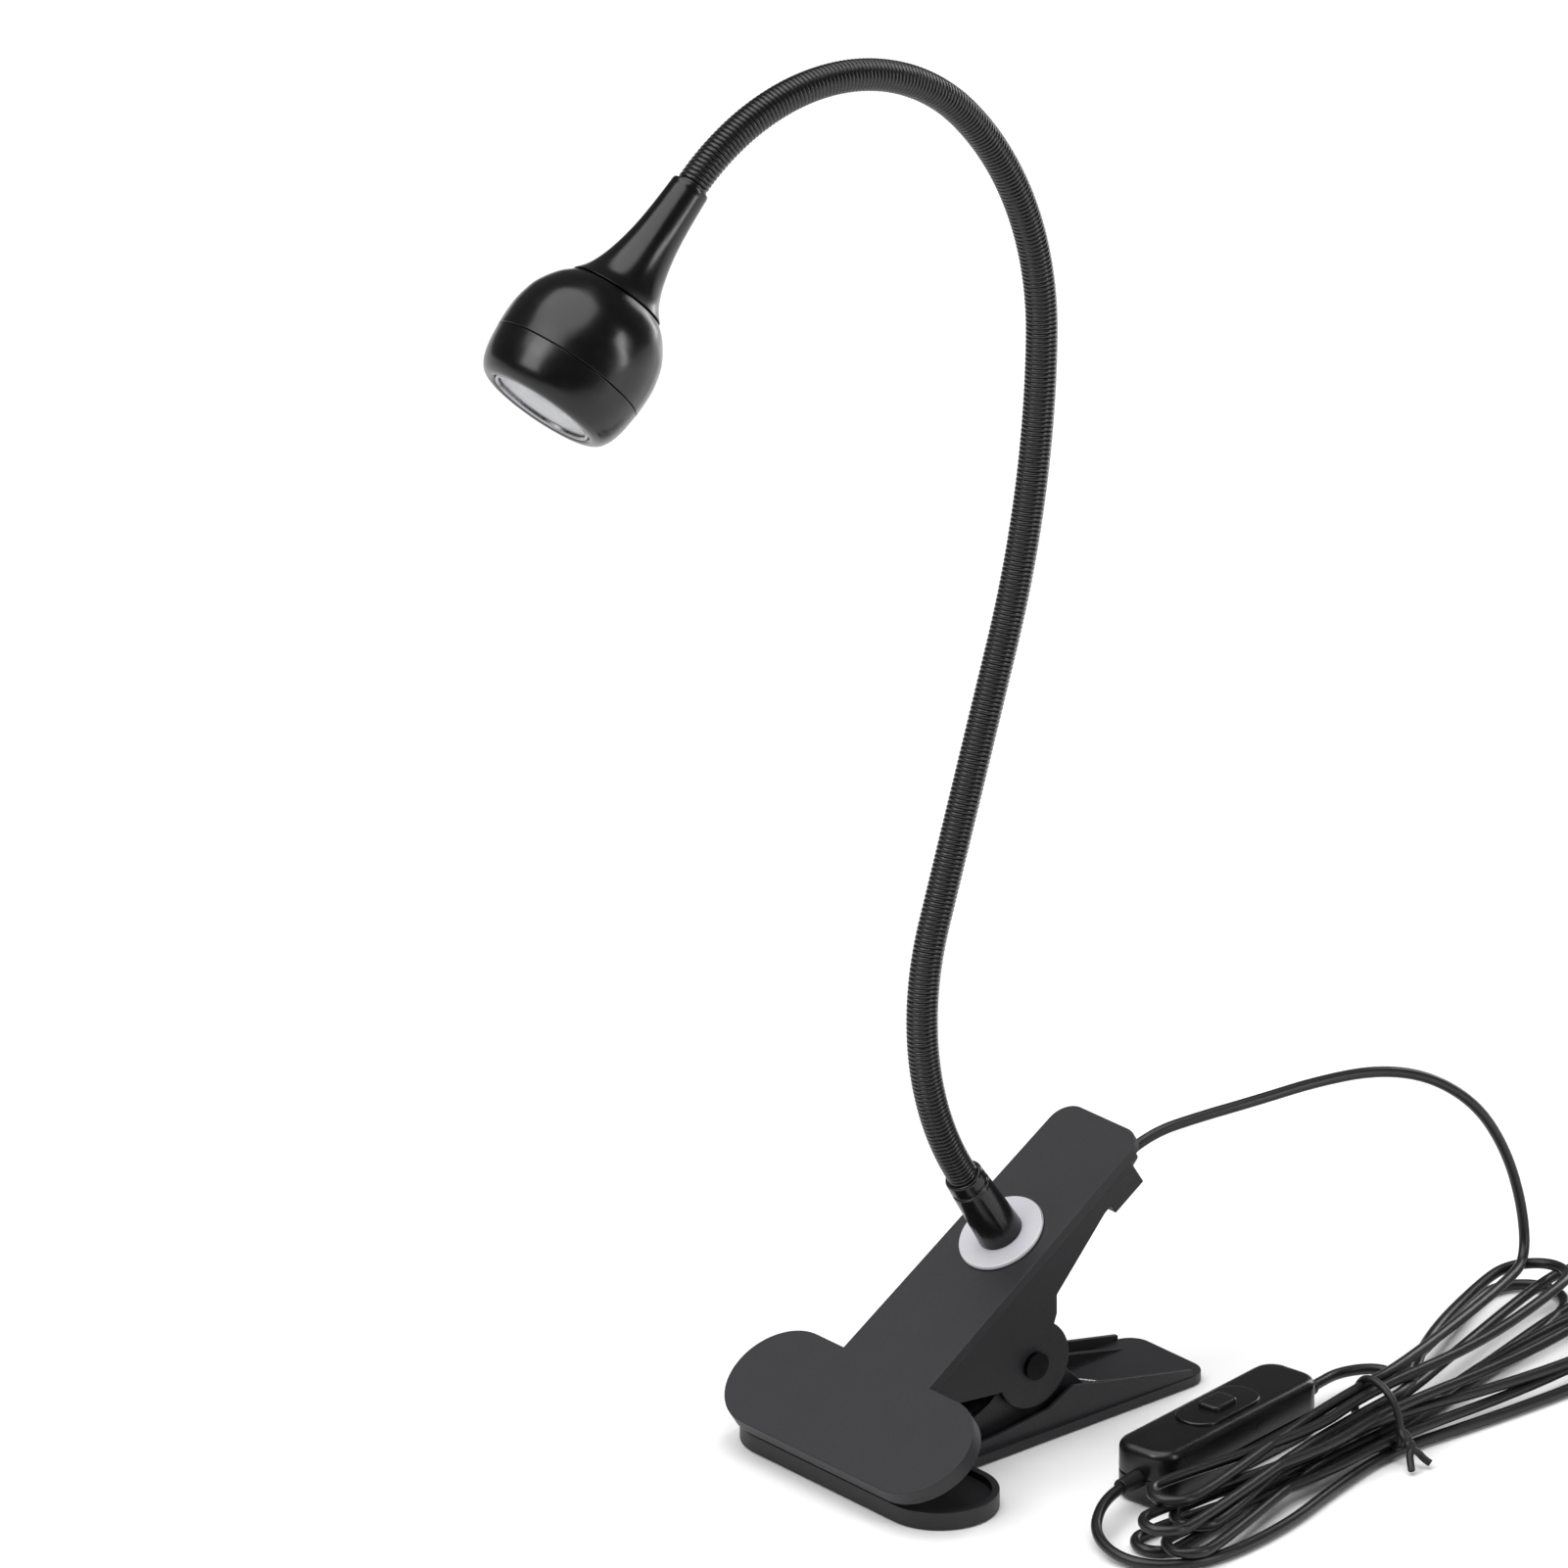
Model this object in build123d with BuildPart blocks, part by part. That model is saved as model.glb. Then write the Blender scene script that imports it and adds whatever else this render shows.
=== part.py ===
"""Clip-on UV curing lamp: a spring clip, a gooseneck, an LED head and a corded switch.

Millimetres. The origin is on the surface that the clip stands on, under the pivot pin.
+X runs along the clip to its handles, -X to its jaws, +Z up; -Y is the switch's side.
"""
from build123d import *
from math import asin, atan2, cos, degrees, hypot, pi, radians, sin, tan
import os

os.makedirs("parts", exist_ok=True)

# ---------------------------------------------------------------- driving dimensions
# clip arms
arm_front = 58.0            # pivot to the jaws' front edge
arm_back = 58.0             # pivot to the handles' end
arm_angle = 33.4            # upper arm above the lower one, jaws closed
pivot_height = 20.6         # pivot above the lower arm's base
plate_top = 25.5            # upper arm's top above the pivot, square to the arm
plate_wall = 2.7
jaw_width = 83.0            # across the T-shaped jaws
jaw_length = 30.0
strip_front_width = 33.0
strip_back_width = 29.5
strip_corner = 6.0
rim_height = 4.6            # the jaws' skirt, plate included
rim_wall = 2.0
side_wall = 1.8
upper_wall_outside = 13.2   # half width over the upper arm's side walls
arm_gap = 0.4               # between the upper arm's walls and the lower arm's
handle_wall = 1.2           # lower arm's outer walls, outside the upper arm's
handle_gap = 0.3
boss_radius = 11.5
pad_length = 6.0
end_block_start = 41.0
end_block_length = 11.0
end_block_drop = 12.2       # end block's underside below the plate's top

# pivot and spring
pin_radius = 2.0
press_clearance = 0.02
running_clearance = 0.08
pin_head_radius = 3.6
pin_head_height = 1.2
washer_gap = 0.15
spring_wire = 1.6
spring_radius = 4.8         # to the middle of the wire
spring_pitch = 1.85
spring_turns = 6            # whole turns, less what the legs' angles take
spring_leg = 36.0

# gooseneck and its base
neck_station = 17.6         # washer's centre along the upper arm from the pivot
washer_radius = 11.5
washer_height = 1.2
collar_height = 24.0        # washer included
neck_radius = 3.9
collar_base_radius = neck_radius + 2.1
collar_top_radius = neck_radius + 1.05
neck_bore = 2.2
neck_ball = 3.3
joint_gap = 1.0             # a segment's end face to the joint's centre
neck_seat = 12.0            # length held in the collar, and in the head's sleeve
# gooseneck's route above the collar: straight runs (length) and arcs (radius, turn)
neck_route = [("arc", 82.0, -51.0), ("run", 71.0, 0.0), ("arc", 266.0, 17.0),
              ("arc", 89.0, 45.0), ("arc", 61.1, 89.5)]
bend_stations = [24.0, 96.0, 160.0, 224.0, 280.0, 330.0]
sway_stations = [60.0, 252.0]

# head, along its axis from the sleeve's rear end
sleeve_rear_radius = neck_radius + 1.1
sleeve_length = 30.5
sleeve_setback = 1.8        # sleeve's rear end, behind where its stations start
rear_seam_radius = 10.7
bulb_radius = 19.7
bulb_station = 46.5         # where the bulb is widest
seam_station = 51.5         # front bezel meets the shell
head_length = 63.0
face_radius = 17.2
window_radius = 13.0
head_wall = 1.8
lens_radius = 14.2
lens_height = 2.2
lens_recess = 2.6
board_station = 50.0
board_radius = 12.5
board_height = 1.2
sink_radius = 12.5
sink_length = 9.0

# cords
cord_radius = 1.4
gland_radius = 2.6
gland_length = 4.0

# switch on the cord
switch_length = 64.0
switch_width = 18.0
switch_height = 15.0
switch_wall = 1.6
switch_centre = (26.0, -52.5)
switch_turn = 10.0
button_length = 9.0
button_width = 6.5
button_travel = 1.5
button_gap = 0.3

# cord hank and plug
hank_height = 17.0
tie_wall = 1.5
plug_length = 26.0
plug_width = 15.5
plug_height = 7.8
usb_shell = (14.0, 12.0, 4.5)
usb_wall = 0.35


def save(builder, node):
    """Label a finished piece and write it as its node's STEP file."""
    builder.part.label = node
    export_step(builder.part, f"parts/{node}.step")


# ---------------------------------------------------------------- frames
up_x = (cos(radians(arm_angle)), 0, sin(radians(arm_angle)))
up_z = (-sin(radians(arm_angle)), 0, cos(radians(arm_angle)))
pivot = Vector(0, 0, pivot_height)


def upper_at(x, y, z):
    """A place in the upper arm's own frame, in the part's frame."""
    return pivot + Vector(*up_x) * x + Vector(0, y, 0) + Vector(*up_z) * z


def upper_level(z):
    """The plane parallel to the upper arm's plate, z above the pivot."""
    return Plane(origin=upper_at(0, 0, z), x_dir=up_x, z_dir=up_z)


upper_side = Plane(origin=pivot, x_dir=up_x, z_dir=(0, -1, 0))
lower_side = Plane(origin=pivot, x_dir=(1, 0, 0), z_dir=(0, -1, 0))
plate_under = plate_top - plate_wall
lower_under = -pivot_height
lower_top = lower_under + plate_wall
upper_wall_inside = upper_wall_outside - side_wall
lower_wall_outside = upper_wall_inside - arm_gap
lower_wall_inside = lower_wall_outside - side_wall
handle_wall_outside = upper_wall_outside + handle_gap + handle_wall
jaw_centre = jaw_length / 2 - arm_front
notch = jaw_length - arm_front


def jaw_outline():
    with Locations((jaw_centre, 0)):
        SlotOverall(jaw_width, jaw_length, rotation=90)


def arm_outline():
    """T-shaped jaw with a tapering strip behind it, seen from above."""
    jaw_outline()
    strip_front = notch - 2 * strip_corner
    with BuildLine() as strip:
        FilletPolyline((strip_front, -strip_front_width / 2), (arm_back, -strip_back_width / 2),
                       (arm_back, strip_back_width / 2), (strip_front, strip_front_width / 2),
                       radius=strip_corner, close=True)
    make_face(strip.edges())


def side_walls(plane, outline, outside, thickness, boss=None):
    """Two mirrored side walls, with round bosses about the pivot where a radius is given."""
    for y in (outside, -outside + thickness):
        with BuildSketch(plane.offset(y)) as wall:
            with BuildLine() as edge:
                Polyline(*outline, close=True)
            make_face(edge.edges())
            if boss:
                Circle(boss)
        extrude(wall.sketch, amount=-thickness)


# ---------------------------------------------------------------- upper arm
upper_walls = [(-42, plate_under), (-28, 15.5), (-12.5, 3.0), (0, -4), (12.9, 5.9), (15.6, 10.1),
               (38.4, 16.1), (end_block_start + end_block_length, 16.6),
               (end_block_start + end_block_length, plate_under)]
neck_hole = neck_radius + 0.15
cord_hole = cord_radius + 0.2
exit_y = -7.0
exit_z = plate_under - 5.0

with BuildPart() as upper_arm:
    with BuildSketch(upper_level(plate_under)):
        arm_outline()
    extrude(amount=plate_wall)
    with BuildSketch(upper_level(plate_top - rim_height)):
        jaw_outline()
        offset(amount=-rim_wall, mode=Mode.SUBTRACT)
    extrude(amount=rim_height)
    side_walls(upper_side, upper_walls, upper_wall_outside, side_wall, boss_radius)
    # end block that closes the channel and lets the cord out
    with BuildSketch(upper_level(plate_top - end_block_drop)):
        with Locations((end_block_start + end_block_length / 2, 0)):
            Rectangle(end_block_length, 2 * upper_wall_outside)
    extrude(amount=end_block_drop - plate_wall)
    # pivot bore, neck hole and cord hole
    with BuildSketch(upper_side.offset(2 * upper_wall_outside)):
        Circle(pin_radius + running_clearance)
    extrude(amount=-4 * upper_wall_outside, mode=Mode.SUBTRACT)
    with BuildSketch(upper_level(plate_top + 1)):
        with Locations((neck_station, 0)):
            Circle(neck_hole)
    extrude(amount=-plate_wall - 2, mode=Mode.SUBTRACT)
    with BuildSketch(Plane(origin=upper_at(end_block_start - 1, exit_y, exit_z), z_dir=up_x)):
        Circle(gland_radius)
    extrude(amount=end_block_length + 2, mode=Mode.SUBTRACT)
save(upper_arm, "upper_arm")

# ---------------------------------------------------------------- lower arm
lower_walls = [(-42, lower_top), (-28, -14.5), (-13, -7.5), (0, 4), (13, -5.5), (19, -11.6),
               (50, lower_top), (50, lower_under + 1), (-42, lower_under + 1)]
# outer walls beside the upper arm's, highest behind the pivot and falling to the handle's end
handle_walls = [(notch, lower_under + 5), (-12, lower_under + 6), (4, lower_under + 8),
                (12, lower_under + 12), (arm_back - strip_corner, lower_under + 4.4),
                (arm_back - strip_corner, lower_under + 1), (notch, lower_under + 1)]
with BuildPart() as lower_arm:
    with BuildSketch(Plane.XY):
        arm_outline()
    extrude(amount=plate_wall)
    with BuildSketch(Plane.XY):
        jaw_outline()
        offset(amount=-rim_wall, mode=Mode.SUBTRACT)
    extrude(amount=rim_height)
    side_walls(lower_side, lower_walls, lower_wall_outside, side_wall, boss_radius - 0.5)
    side_walls(lower_side, handle_walls, handle_wall_outside, handle_wall)
    with BuildSketch(lower_side.offset(2 * upper_wall_outside)):
        Circle(pin_radius + press_clearance)
    extrude(amount=-4 * upper_wall_outside, mode=Mode.SUBTRACT)
save(lower_arm, "lower_arm")

# ---------------------------------------------------------------- pivot pin and its cap
pin_half = upper_wall_outside + washer_gap
with BuildPart() as pivot_pin:
    with BuildSketch(lower_side.offset(pin_half + pin_head_height)):
        Circle(pin_head_radius)
    extrude(amount=-pin_head_height)
    with BuildSketch(lower_side.offset(pin_half)):
        Circle(pin_radius)
    extrude(amount=-2 * pin_half - 1.6)
    chamfer(faces().sort_by(Axis.Y)[-1].edges(), 0.4)
save(pivot_pin, "pivot_pin")

with BuildPart() as pin_cap:
    with BuildSketch(lower_side.offset(-pin_half)):
        Circle(pin_head_radius)
        Circle(pin_radius + press_clearance, mode=Mode.SUBTRACT)
    extrude(amount=-1.0)
save(pin_cap, "pin_cap")

# ---------------------------------------------------------------- torsion spring
def leg_angle(height):
    """A leg's angle from its arm, when it leaves the coil and ends that high above the pivot."""
    reach = hypot(spring_leg, spring_radius)
    return degrees(asin(height / reach) - atan2(spring_radius, spring_leg))


rest_gap = spring_wire / 2 + 0.05
lower_leg = leg_angle(-lower_top - rest_gap)
upper_leg = arm_angle + leg_angle(plate_under - rest_gap)
coil_start = 180 + lower_leg
coil_turns = spring_turns - (upper_leg + coil_start) / 360
coil_length = spring_pitch * coil_turns

with BuildPart() as torsion_spring:
    with BuildLine() as coil:
        Helix(spring_pitch, coil_length, spring_radius,
              center=(0, -coil_length / 2, pivot_height), direction=(0, 1, 0))
        wire_line = coil.line.rotate(Axis(pivot, (0, 1, 0)), coil_start)
    with BuildSketch(Plane(origin=wire_line @ 0, z_dir=wire_line % 0)) as wire:
        Circle(spring_wire / 2)
    sweep(wire.sketch, path=wire_line, is_frenet=True)
    for end, way in ((0, -1), (1, 1)):
        with BuildSketch(Plane(origin=wire_line @ end, z_dir=(wire_line % end) * way)) as wire:
            Circle(spring_wire / 2)
        extrude(wire.sketch, amount=spring_leg)
save(torsion_spring, "torsion_spring")

# ---------------------------------------------------------------- jaw pads
def jaw_pad(plane, top, height):
    """A ribbed rubber strip under the jaws' front edge."""
    with BuildSketch(plane) as strip:
        with Locations((rim_wall + pad_length / 2 + 0.2 - arm_front, 0)):
            RectangleRounded(pad_length, jaw_width - jaw_length, 1.0)
    extrude(strip.sketch, amount=height)
    with BuildSketch(plane.offset(top)) as ribs:
        with GridLocations(0, 4.0, 1, 12):
            with Locations((rim_wall + pad_length / 2 + 0.2 - arm_front, 0)):
                Rectangle(pad_length + 1, 1.2)
    extrude(ribs.sketch, amount=-0.5 if height > 0 else 0.5, mode=Mode.SUBTRACT)


upper_pad_height = 6.9 - plate_wall      # the pads meet between the plates, however thick
lower_pad_height = 5.7 - plate_wall
with BuildPart() as upper_jaw_pad:
    jaw_pad(upper_level(plate_under), -upper_pad_height, -upper_pad_height)
save(upper_jaw_pad, "upper_jaw_pad")
with BuildPart() as lower_jaw_pad:
    jaw_pad(Plane.XY.offset(plate_wall), lower_pad_height, lower_pad_height)
save(lower_jaw_pad, "lower_jaw_pad")

# ---------------------------------------------------------------- gooseneck's base
base_plane = Plane(origin=upper_at(neck_station, 0, plate_top), x_dir=up_x, z_dir=(0, -1, 0))
base_axis = Axis(upper_at(neck_station, 0, plate_top), up_z)
stem_length = plate_wall + 5.0
nut_height = 4.0
nut_radius = 5.6
slip = 0.05

with BuildPart() as neck_washer:
    with BuildSketch(upper_level(plate_top)):
        with Locations((neck_station, 0)):
            Circle(washer_radius)
            Circle(neck_radius + 3 * slip, mode=Mode.SUBTRACT)
    extrude(amount=washer_height)
    chamfer(edges().filter_by(GeomType.CIRCLE).sort_by(SortBy.RADIUS)[-2:], 0.3)
save(neck_washer, "neck_washer")

groove = 0.45
with BuildPart() as neck_collar:
    with BuildSketch(base_plane):
        with BuildLine():
            Polyline((neck_bore, -stem_length), (neck_radius, -stem_length),
                     (neck_radius, washer_height), (collar_base_radius, washer_height),
                     (collar_top_radius + 0.2, collar_height - 4.6),
                     (collar_top_radius + 0.2 - groove, collar_height - 4.4),
                     (collar_top_radius + 0.2 - groove, collar_height - 3.6),
                     (collar_top_radius + 0.15, collar_height - 3.4),
                     (collar_top_radius, collar_height - 0.4),
                     (collar_top_radius - 0.4, collar_height),
                     (neck_radius + slip, collar_height),
                     (neck_radius + slip, collar_height - neck_seat),
                     (neck_bore, collar_height - neck_seat), close=True)
        make_face()
    revolve(axis=base_axis)
save(neck_collar, "neck_collar")

with BuildPart() as neck_nut:
    with BuildSketch(upper_level(plate_under)):
        with Locations((neck_station, 0)):
            RegularPolygon(nut_radius, 6)
            Circle(neck_radius + slip, mode=Mode.SUBTRACT)
    extrude(amount=-nut_height)
save(neck_nut, "neck_nut")

# ---------------------------------------------------------------- gooseneck's segments
neck_start = upper_at(neck_station, 0, plate_top + collar_height)
neck_turn = 90.0 + arm_angle


def step(place, angle, kind, size, turn):
    """Where a straight run or an arc ends, and the direction there, in the XZ plane."""
    x, z = place
    a = radians(angle)
    if kind == "run":
        return (x + size * cos(a), z + size * sin(a)), angle
    side = 1 if turn > 0 else -1
    b = a + radians(turn)
    return (x + side * size * (sin(b) - sin(a)), z - side * size * (cos(b) - cos(a))), angle + turn


def neck_pieces(start, end):
    """The route's runs and arcs between two lengths along it, each with its start and angle."""
    pieces = []
    place, angle, done = (neck_start.X, neck_start.Z), neck_turn, 0.0
    route = [("run", neck_seat, 0.0)] + neck_route + [("run", neck_seat, 0.0)]
    place, _ = step(place, angle, "run", -neck_seat, 0.0)
    done = -neck_seat
    for kind, size, turn in route:
        length = size if kind == "run" else size * radians(abs(turn))
        low, high = max(start, done), min(end, done + length)
        if high - low > 0.001:
            part_turn = turn * (high - low) / length
            skip = low - done
            skipped = turn * skip / length
            at, way = step(place, angle, kind, skip if kind == "run" else size, skipped) \
                if skip > 0 else (place, angle)
            piece_size = high - low if kind == "run" else size
            pieces.append((at, way, kind, piece_size, part_turn))
        place, angle = step(place, angle, kind, size, turn)
        done += length
    return pieces


def neck_at(length):
    """A point on the gooseneck's centre line, and its tangent."""
    at, way, kind, size, turn = neck_pieces(-neck_seat, length)[-1]
    place, angle = step(at, way, kind, size, turn)
    return Vector(place[0], 0, place[1]), Vector(cos(radians(angle)), 0, sin(radians(angle)))


def neck_sweep(start, end, radius, mode=Mode.ADD):
    """A round bar along the gooseneck's centre line."""
    with BuildLine(Plane.XZ) as line:
        for at, way, kind, size, turn in neck_pieces(start, end):
            if kind == "run":
                PolarLine(at, size, way)
            else:
                JernArc(at, (cos(radians(way)), sin(radians(way))), size, turn)
    with BuildSketch(Plane(origin=line.line @ 0, z_dir=line.line % 0)) as section:
        Circle(radius)
    sweep(section.sketch, path=line.line, mode=mode)


neck_length = sum(size if kind == "run" else size * radians(abs(turn))
                  for kind, size, turn in neck_route)
joint_stations = sorted(bend_stations + sway_stations)
print("gooseneck length", round(neck_length, 1))
for station in joint_stations:
    at, way = neck_at(station)
    kind = "bend" if station in bend_stations else "sway"
    print("neck joint", kind, "at", [round(v, 3) for v in at], "tangent", [round(v, 4) for v in way])

lengths = [-neck_seat] + joint_stations + [neck_length + neck_seat]
for number in range(len(lengths) - 1):
    first = number == 0
    last = number == len(lengths) - 2
    start = lengths[number] + (0 if first else joint_gap)
    end = lengths[number + 1] - (0 if last else joint_gap)
    with BuildPart() as neck_segment:
        neck_sweep(start, end, neck_radius)
        if not last:
            with Locations(neck_at(lengths[number + 1])[0]):
                Sphere(neck_ball)
        if not first:
            with Locations(neck_at(lengths[number])[0]):
                Sphere(neck_ball + slip, mode=Mode.SUBTRACT)
        bore_end = end if last else lengths[number + 1] + neck_ball + 0.5
        neck_sweep(start, bore_end, neck_bore, mode=Mode.SUBTRACT)
    save(neck_segment, f"neck_segment_{number}")

# ---------------------------------------------------------------- head
neck_end, head_way = neck_at(neck_length)
head_origin = neck_end + head_way * sleeve_setback
sleeve_seat = neck_seat - sleeve_setback
head_plane = Plane(origin=head_origin, x_dir=head_way, z_dir=(0, -1, 0))
head_axis = Axis(head_origin, head_way)
sleeve_line = [(-sleeve_setback, sleeve_rear_radius), (8, 5.5), (15, 6.3), (22, 7.8), (27, 9.4),
               (sleeve_length, rear_seam_radius)]
shell_line = [(sleeve_length, rear_seam_radius + 0.3), (33.5, 14.8), (38, 17.8), (42.5, 19.3),
              (bulb_station, bulb_radius), (seam_station, bulb_radius - 0.2)]
bezel_line = [(seam_station, bulb_radius - 0.2), (56, bulb_radius - 0.8), (60.5, 17.9),
              (head_length - 0.3, face_radius)]
fit_gap = 0.1
spigot_radius = bulb_radius - 0.2 - head_wall
lens_back = head_length - lens_recess - lens_height
board_back = board_station - board_height

with BuildPart() as head_sleeve:
    with BuildSketch(head_plane):
        with BuildLine():
            Spline(*sleeve_line)
            Polyline(sleeve_line[-1], (sleeve_length, rear_seam_radius - 0.5),
                     (sleeve_length + 2, rear_seam_radius - 0.5),
                     (sleeve_length + 2, rear_seam_radius - head_wall), (27, 7.2), (20, 4.0),
                     (sleeve_seat + 1, neck_bore), (sleeve_seat, neck_bore),
                     (sleeve_seat, neck_radius + slip),
                     (-sleeve_setback, neck_radius + slip), sleeve_line[0])
        make_face()
    revolve(axis=head_axis)
save(head_sleeve, "head_sleeve")

with BuildPart() as head_shell:
    with BuildSketch(head_plane):
        with BuildLine():
            Spline(*shell_line)
            Polyline(shell_line[-1], (seam_station, spigot_radius),
                     (board_back - sink_length + 1, spigot_radius),
                     (board_back - sink_length, spigot_radius - 1),
                     (board_back - sink_length, sink_radius - 1.5),
                     (board_back - sink_length - 1.5, sink_radius - 1.5),
                     (sleeve_length + 2.3, rear_seam_radius - 0.3),
                     (sleeve_length, rear_seam_radius - 0.3), shell_line[0])
        make_face()
    revolve(axis=head_axis)
save(head_shell, "head_shell")

with BuildPart() as front_bezel:
    with BuildSketch(head_plane):
        with BuildLine():
            Spline(*bezel_line)
            Polyline(bezel_line[-1], (head_length, face_radius - 0.5),
                     (head_length, window_radius + 0.6),
                     (head_length - 0.6, window_radius),
                     (head_length - lens_recess, window_radius),
                     (head_length - lens_recess, lens_radius + fit_gap),
                     (seam_station - 3, lens_radius + fit_gap),
                     (seam_station - 3, spigot_radius - fit_gap),
                     (seam_station, spigot_radius - fit_gap), bezel_line[0])
        make_face()
    revolve(axis=head_axis)
save(front_bezel, "front_bezel")

with BuildPart() as lens:
    with BuildSketch(head_plane):
        with BuildLine():
            Polyline((lens_back, 0), (lens_back, lens_radius),
                     (head_length - lens_recess, lens_radius),
                     (head_length - lens_recess, window_radius - 0.6),
                     (head_length - lens_recess + 0.5, window_radius - 1.8),
                     (head_length - lens_recess + 0.5, 0), close=True)
        make_face()
    revolve(axis=head_axis)
save(lens, "lens")

gasket_height = 0.6
with BuildPart() as lens_gasket:
    with BuildSketch(head_plane):
        with Locations((lens_back - gasket_height / 2, lens_radius - 0.6)):
            Rectangle(gasket_height, 1.2)
    revolve(axis=head_axis)
save(lens_gasket, "lens_gasket")

cup_front = lens_back - gasket_height
with BuildPart() as reflector:
    with BuildSketch(head_plane):
        with BuildLine():
            Polyline((board_station, 3.6), (board_station, 4.6), (cup_front - 0.8, 13.0),
                     (cup_front - 0.8, lens_radius), (cup_front, lens_radius),
                     (cup_front, 12.6), close=True)
        make_face()
    revolve(axis=head_axis)
save(reflector, "reflector")


def head_level(station):
    """The plane square to the head's axis at a station, its x up in the clip's plane."""
    return Plane(origin=head_origin + head_way * station, z_dir=head_way, x_dir=(0, 1, 0))


screw_circle = 9.5
screw_radius = 1.0
with BuildPart() as led_board:
    with BuildSketch(head_level(board_back)):
        Circle(board_radius)
        with PolarLocations(screw_circle, 2):
            Circle(screw_radius + fit_gap, mode=Mode.SUBTRACT)
    extrude(amount=board_height)
save(led_board, "led_board")

emitter_width = 4.6
with BuildPart() as led_emitter:
    with BuildSketch(head_level(board_station)):
        RectangleRounded(emitter_width, emitter_width, 0.4)
    extrude(amount=1.0)
    with Locations(head_origin + head_way * (board_station + 1.0)):
        Sphere(1.7)
    split(bisect_by=head_level(board_station), keep=Keep.TOP)
save(led_emitter, "led_emitter")

fin_slot = 1.1
with BuildPart() as heat_sink:
    with BuildSketch(head_level(board_back - sink_length)):
        Circle(sink_radius)
        Circle(3.2, mode=Mode.SUBTRACT)
        with PolarLocations(screw_circle, 2):
            Circle(screw_radius + press_clearance, mode=Mode.SUBTRACT)
        with PolarLocations(sink_radius, 16, start_angle=11.25):
            Rectangle(7.0, fin_slot, mode=Mode.SUBTRACT)
    extrude(amount=sink_length)
save(heat_sink, "heat_sink")

with BuildPart() as board_screws:
    with BuildSketch(head_level(board_station)):
        with PolarLocations(screw_circle, 2):
            Circle(screw_radius + 0.7)
    extrude(amount=0.9)
    with BuildSketch(head_level(board_station)):
        with PolarLocations(screw_circle, 2):
            Circle(screw_radius)
    extrude(amount=-board_height - 5)
save(board_screws, "board_screws")

with BuildPart() as head_wires:
    with BuildSketch(head_level(neck_seat + 1)):
        with GridLocations(1.8, 0, 2, 1):
            Circle(0.65)
    extrude(amount=board_back - neck_seat - 1)
save(head_wires, "head_wires")

# ---------------------------------------------------------------- cords
def cord_radii(points):
    """Each corner's radius: 0.45 of the shorter run over the tangent of half the turn."""
    radii = []
    for before, here, after in zip(points, points[1:], points[2:]):
        a, b = Vector(*here) - Vector(*before), Vector(*after) - Vector(*here)
        radii.append(0.45 * min(a.length, b.length) / tan(radians(a.get_angle(b)) / 2))
    return radii


def cord(node, points):
    """A cord's tube along straight runs and tangent arcs, written as its own node."""
    radii = cord_radii(points)
    with BuildPart() as tube:
        with BuildLine() as line:
            FilletPolyline(*points, radius=radii)
        with BuildSketch(Plane(origin=line.line @ 0, z_dir=line.line % 0)):
            Circle(cord_radius)
        sweep(path=line.line)
    length = line.wires()[0].length
    print(node, "length", round(length, 1), "radii", [round(r, 1) for r in radii],
          "volume ratio", round(tube.part.volume / (length * pi * cord_radius ** 2), 4))
    save(tube, node)


gland_tip = upper_at(end_block_start + end_block_length + gland_length, exit_y, exit_z)
with BuildPart() as cable_gland:
    with BuildSketch(Plane(origin=upper_at(end_block_start, exit_y, exit_z), z_dir=up_x)):
        Circle(gland_radius - press_clearance)
        Circle(cord_radius + slip, mode=Mode.SUBTRACT)
    extrude(amount=end_block_length)
    with BuildSketch(Plane(origin=upper_at(end_block_start + end_block_length, exit_y, exit_z),
                           z_dir=up_x)):
        Circle(gland_radius + 0.7)
        Circle(cord_radius + slip, mode=Mode.SUBTRACT)
    extrude(amount=gland_length, taper=10)
save(cable_gland, "cable_gland")

# the lead inside the arm, from the neck's stem to the gland, where the free cord starts
stem_end = upper_at(neck_station, 0, plate_top - stem_length)
inside_points = [tuple(stem_end), tuple(upper_at(neck_station + 1.5, -0.5, 13.5)),
                 tuple(upper_at(neck_station + 9, -3.5, 11.5)),
                 tuple(upper_at(end_block_start - 6, exit_y, exit_z - 1.5)),
                 tuple(upper_at(end_block_start + 2, exit_y, exit_z)),
                 tuple(gland_tip)]
cord("arm_lead", inside_points)

lead_start = gland_tip + Vector(*up_x) * 0.3
lamp_lead_points = [tuple(lead_start), (43.4, -7.8, 69.6), (56, -11, 71.4), (72, -15, 72.8),
                    (90, -18, 74), (108, -21, 73.2), (124, -23.5, 67.8), (138, -26, 57),
                    (147, -27.5, 42.5), (151.5, -29, 27), (151, -31.5, 14), (142, -37, 9)]
cord("lamp_lead", lamp_lead_points)


# ---------------------------------------------------------------- hank and its tie
tie_centre = (57.0, -79.0)
tie_length = 7.0
tie_width = 29.0
with BuildPart() as twist_tie:
    with BuildSketch(Plane(origin=(*tie_centre, (hank_height + tie_wall) / 2), x_dir=(0, 1, 0),
                           z_dir=(1, 0, 0))):
        RectangleRounded(tie_width, hank_height + tie_wall, 5.0)
        offset(amount=-tie_wall, mode=Mode.SUBTRACT)
    extrude(amount=tie_length / 2, both=True)
save(twist_tie, "twist_tie")

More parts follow.
